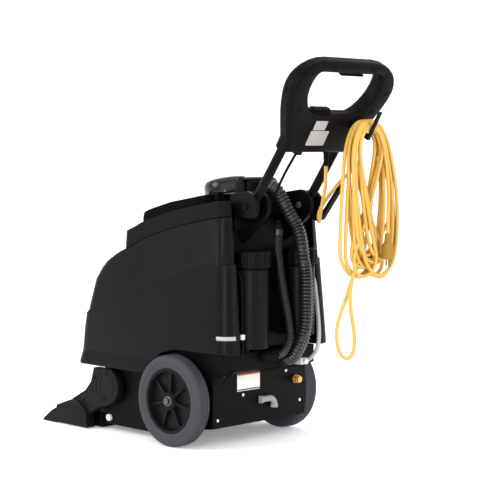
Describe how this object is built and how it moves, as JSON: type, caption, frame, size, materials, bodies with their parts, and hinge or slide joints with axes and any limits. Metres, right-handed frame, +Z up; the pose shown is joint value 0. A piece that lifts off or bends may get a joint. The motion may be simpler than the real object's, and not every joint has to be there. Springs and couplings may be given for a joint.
{
  "type": "walk-behind carpet extractor",
  "caption": "Walk-behind carpet extractor: moulded tanks on two wheels, floating brush and vacuum head in front, folding handle with a wound mains cord behind.",
  "frame": {"origin": "middle of the machine's footprint on the floor", "axes": "+Z up, -Y towards the vacuum shoe at the front, +X the machine's left"},
  "size_m": [0.5148, 1.0546, 1.0512],
  "materials": {
    "tank_black": "satin rotomoulded black",
    "satin_black": "moulded black, slightly matt",
    "frame_black": "black powder coat",
    "cast_black": "black powder-coated casting",
    "grey_rubber": "grey non-marking rubber",
    "hose_black": "corrugated black hose",
    "steel": "zinc plated",
    "brass": "plain",
    "smoke_clear": "smoky clear moulding",
    "clear_tube": "clear flexible tube",
    "pale_plastic": "white nylon",
    "grey_bristle": "nylon bristle",
    "cord_yellow": "yellow cord jacket"
  },
  "bodies": {
    "chassis": {"base_tub": "satin_black", "solution_tank": "tank_black", "recovery_tank": "tank_black", "recovery_lid": "satin_black", "dome_gasket": "satin_black", "vacuum_motor": "steel", "vacuum_cover": "tank_black", "vacuum_hose": "hose_black", "drain_hose": "hose_black", "level_tube": "clear_tube", "level_fitting": "pale_plastic", "sensor_cable": "satin_black", "quick_coupler": "brass", "handle_bracket_left": "frame_black", "handle_bracket_right": "frame_black", "pivot_bolt_left": "steel", "pivot_bolt_right": "steel", "axle": "steel", "axle_clip_left": "steel", "axle_clip_right": "steel", "brush_motor": "steel", "solution_pump": "satin_black", "glide_bush_left": "pale_plastic", "glide_bush_right": "pale_plastic"},
    "wheel_left": {"tyre_left": "grey_rubber", "wheel_rim_left": "tank_black"},
    "wheel_right": {"tyre_right": "grey_rubber", "wheel_rim_right": "tank_black"},
    "handle": {"handle_tube_left": "frame_black", "handle_tube_right": "frame_black", "grip_front_shell": "tank_black", "grip_rear_shell": "tank_black", "switch_bezel": "satin_black", "strain_relief": "satin_black", "switch_conduit": "satin_black", "upper_cord_hook": "frame_black", "lower_cord_hook": "frame_black", "cord_lead": "cord_yellow", "cord_hank": "cord_yellow", "cord_drop": "cord_yellow", "cord_plug": "satin_black"},
    "brush_switch": {"brush_switch": "satin_black"},
    "vacuum_switch": {"vacuum_switch": "satin_black"},
    "spray_lever": {"spray_lever": "satin_black"},
    "brush_head": {"head_arm_left": "tank_black", "head_arm_right": "tank_black", "brush_hood": "satin_black", "vacuum_shoe": "cast_black", "spray_bar": "brass", "drive_belt": "satin_black"},
    "brush": {"brush_core": "satin_black", "brush_bristles": "grey_bristle", "brush_pulley": "steel"},
    "motor_pulley": {"motor_pulley": "steel"},
    "vacuum_fan": {"vacuum_fan": "steel"},
    "cap_left": {"tank_cap_left": "tank_black"},
    "cap_right": {"tank_cap_right": "tank_black"},
    "dome": {"clear_dome": "smoke_clear"},
    "lid_latch": {"lid_latch": "satin_black"},
    "drain_plug": {"drain_plug": "satin_black"}
  },
  "joints": [
    {"name": "wheel_left_spin", "type": "hinge", "parent": "chassis", "child": "wheel_left", "pos_m": [0.213, 0.05275, 0.127], "axis": [1, 0, 0], "continuous": true},
    {"name": "wheel_right_spin", "type": "hinge", "parent": "chassis", "child": "wheel_right", "pos_m": [-0.213, 0.05275, 0.127], "axis": [1, 0, 0], "continuous": true},
    {"name": "handle_fold", "type": "hinge", "parent": "chassis", "child": "handle", "pos_m": [0, 0.25275, 0.661], "axis": [1, 0, 0], "range_deg": [0, 72]},
    {"name": "brush_head_float", "type": "hinge", "parent": "chassis", "child": "brush_head", "pos_m": [0, -0.23725, 0.134], "axis": [-1, 0, 0], "range_deg": [0, 5]},
    {"name": "motor_spin", "type": "hinge", "parent": "chassis", "child": "motor_pulley", "pos_m": [0.197, -0.23725, 0.134], "axis": [1, 0, 0], "continuous": true},
    {"name": "brush_spin", "type": "hinge", "parent": "brush_head", "child": "brush", "pos_m": [0, -0.37225, 0.037], "axis": [1, 0, 0], "continuous": true},
    {"name": "fan_spin", "type": "hinge", "parent": "chassis", "child": "vacuum_fan", "pos_m": [0, 0.13475, 0.62], "axis": [0, 0, 1], "continuous": true},
    {"name": "cap_left_turn", "type": "hinge", "parent": "chassis", "child": "cap_left", "pos_m": [0.092, 0.24275, 0.497], "axis": [0, 0, 1], "range_deg": [0, 120]},
    {"name": "cap_right_turn", "type": "hinge", "parent": "chassis", "child": "cap_right", "pos_m": [-0.092, 0.24275, 0.497], "axis": [0, 0, 1], "range_deg": [0, 120]},
    {"name": "dome_lift", "type": "slide", "parent": "chassis", "child": "dome", "axis": [0, -0.2079, 0.9781], "range_m": [0, 0.04]},
    {"name": "latch_flip", "type": "hinge", "parent": "chassis", "child": "lid_latch", "pos_m": [0.12, 0.14475, 0.677], "axis": [-1, 0, 0], "range_deg": [0, 80]},
    {"name": "drain_plug_pull", "type": "slide", "parent": "chassis", "child": "drain_plug", "axis": [0, 0, 1], "range_m": [0, 0.02]},
    {"name": "brush_switch_rock", "type": "hinge", "parent": "handle", "child": "brush_switch", "pos_m": [0.018, 0.43172, 0.92037], "axis": [1, 0, 0], "range_deg": [-8, 8]},
    {"name": "vacuum_switch_rock", "type": "hinge", "parent": "handle", "child": "vacuum_switch", "pos_m": [0.052, 0.43172, 0.92037], "axis": [1, 0, 0], "range_deg": [-8, 8]},
    {"name": "spray_lever_squeeze", "type": "hinge", "parent": "handle", "child": "spray_lever", "pos_m": [-0.016, 0.47893, 1.01835], "axis": [1, 0, 0], "range_deg": [0, 7], "stiffness_Nm_per_rad": 0.4}
  ],
  "couplings": [
    {"joint": "brush_spin", "follows": "motor_spin", "ratio": 0.70588}
  ]
}
